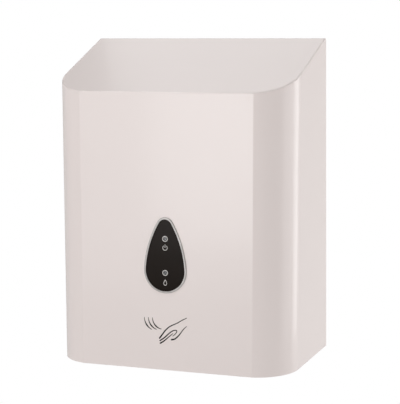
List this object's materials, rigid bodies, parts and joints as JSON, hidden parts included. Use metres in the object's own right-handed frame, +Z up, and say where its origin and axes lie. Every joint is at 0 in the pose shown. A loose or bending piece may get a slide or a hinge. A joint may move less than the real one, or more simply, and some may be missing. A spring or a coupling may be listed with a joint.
{
  "type": "wall mounted soap dispenser",
  "caption": "Touch-free wall soap dispenser: leaning-front cover with a sloping top and teardrop window, hinged over a tank, geared pump, nozzle and hand sensor.",
  "frame": {"origin": "on the wall face, at the centre of the four wall screw holes", "axes": "+X to the right seen from the front, +Y into the wall, +Z up"},
  "size_m": [0.2428, 0.1375, 0.3124],
  "materials": {
    "white_gloss": "glossy warm white moulding",
    "bright_rim": "bright plated rim",
    "window_black": "black gloss window",
    "clear_plastic": "clear moulded plastic",
    "nickel": "nickel plated",
    "zinc_steel": "zinc plated steel",
    "steel": "plain steel",
    "grey_plastic": "fine texture, light grey",
    "natural_plastic": "milky, lets light through",
    "blue_plastic": "moulded blue",
    "black_rubber": "soft black",
    "dark_plastic": "fine texture, black",
    "ivory_plastic": "moulded ivory",
    "gear_plastic": "white acetal",
    "brass": "turned brass",
    "aluminium_sheet": "rolled sheet",
    "silicone": "milky silicone",
    "circuit_green": "green solder mask",
    "chip_black": "black moulding",
    "cell_jacket": "printed steel jacket",
    "wire_jacket": "wire insulation"
  },
  "bodies": {
    "base": {"lock_strike": "zinc_steel", "wall_plate": "grey_plastic", "hinge_pins": "steel", "bottom_tray": "grey_plastic", "module_frame": "grey_plastic", "tank": "natural_plastic", "clip_screws": "zinc_steel", "pump_housing": "ivory_plastic", "pump_cover": "ivory_plastic", "pump_screws": "zinc_steel", "motor_can": "steel", "motor_end_cap": "dark_plastic", "motor_screws": "zinc_steel", "gear_plate": "aluminium_sheet", "gear_cover": "dark_plastic", "feed_tube": "silicone", "delivery_tube": "silicone", "hose_clips": "zinc_steel", "nozzle_body": "ivory_plastic", "nozzle_nut": "ivory_plastic", "nozzle_tip": "silicone", "sensor_window": "window_black", "sensor_holder": "dark_plastic", "sensor_diodes": "clear_plastic", "sensor_board": "circuit_green", "control_board": "circuit_green", "board_components": "chip_black", "board_connectors": "ivory_plastic", "battery_box": "dark_plastic", "battery_cells": "cell_jacket", "battery_contacts": "nickel", "battery_springs": "nickel", "display_housing": "dark_plastic", "display_board": "circuit_green", "status_leds": "clear_plastic", "light_pipes": "clear_plastic", "control_bases": "chip_black", "case_screws": "zinc_steel", "wiring": "wire_jacket"},
    "cover": {"cover": "white_gloss", "window_bezel": "bright_rim", "window_lens": "window_black", "indicator_lenses": "clear_plastic", "lock_body": "nickel", "lock_nut": "nickel"},
    "lock": {"lock_core": "nickel", "lock_cam": "zinc_steel", "cam_screw": "zinc_steel"},
    "filler_cap": {"filler_cap": "blue_plastic", "cap_seal": "black_rubber"},
    "clip_right": {"tank_clip_right": "dark_plastic"},
    "clip_left": {"tank_clip_left": "dark_plastic"},
    "pump_drive": {"pump_drive_gear": "gear_plastic", "drive_wheel": "gear_plastic"},
    "pump_idler": {"pump_idler_gear": "gear_plastic"},
    "motor_rotor": {"motor_pinion": "brass", "motor_shaft": "steel"},
    "battery_door": {"battery_door": "dark_plastic"},
    "switch_slider": {"switch_slider": "white_gloss"},
    "dose_dial": {"dose_dial": "white_gloss"}
  },
  "joints": [
    {"name": "cover_hinge", "type": "hinge", "parent": "base", "child": "cover", "pos_m": [0, -0.0095, 0.146], "axis": [-1, 0, 0], "range_deg": [0, 95]},
    {"name": "lock_turn", "type": "hinge", "parent": "cover", "child": "lock", "pos_m": [0, -0.121, -0.145], "axis": [0, 0, 1], "range_deg": [0, 90]},
    {"name": "filler_cap_turn", "type": "hinge", "parent": "base", "child": "filler_cap", "pos_m": [0, -0.044, 0.095], "axis": [0, 0, 1], "range_deg": [0, 90]},
    {"name": "clip_right_turn", "type": "hinge", "parent": "base", "child": "clip_right", "pos_m": [0.086, -0.0257, 0.01], "axis": [0, 1, 0], "range_deg": [0, 90]},
    {"name": "clip_left_turn", "type": "hinge", "parent": "base", "child": "clip_left", "pos_m": [-0.086, -0.0257, 0.01], "axis": [0, -1, 0], "range_deg": [0, 90]},
    {"name": "pump_spin", "type": "hinge", "parent": "base", "child": "pump_drive", "pos_m": [-0.038, -0.04, -0.115], "axis": [0, 1, 0], "continuous": true},
    {"name": "pump_idler_spin", "type": "hinge", "parent": "base", "child": "pump_idler", "pos_m": [-0.023, -0.043, -0.115], "axis": [0, 1, 0], "continuous": true},
    {"name": "motor_spin", "type": "hinge", "parent": "base", "child": "motor_rotor", "pos_m": [-0.0668, -0.04, -0.115], "axis": [0, 1, 0], "continuous": true},
    {"name": "battery_door_slide", "type": "slide", "parent": "base", "child": "battery_door", "axis": [0, 0, 1], "range_m": [0, 0.015]},
    {"name": "switch_slide", "type": "slide", "parent": "base", "child": "switch_slider", "axis": [0, 0, 1], "range_m": [0, 0.004]},
    {"name": "dose_dial_turn", "type": "hinge", "parent": "base", "child": "dose_dial", "pos_m": [0.009, -0.12, -0.086], "axis": [0, 1, 0], "range_deg": [-135, 135]}
  ],
  "couplings": [
    {"joint": "pump_idler_spin", "follows": "pump_spin", "ratio": -1},
    {"joint": "motor_spin", "follows": "pump_spin", "ratio": -3}
  ]
}
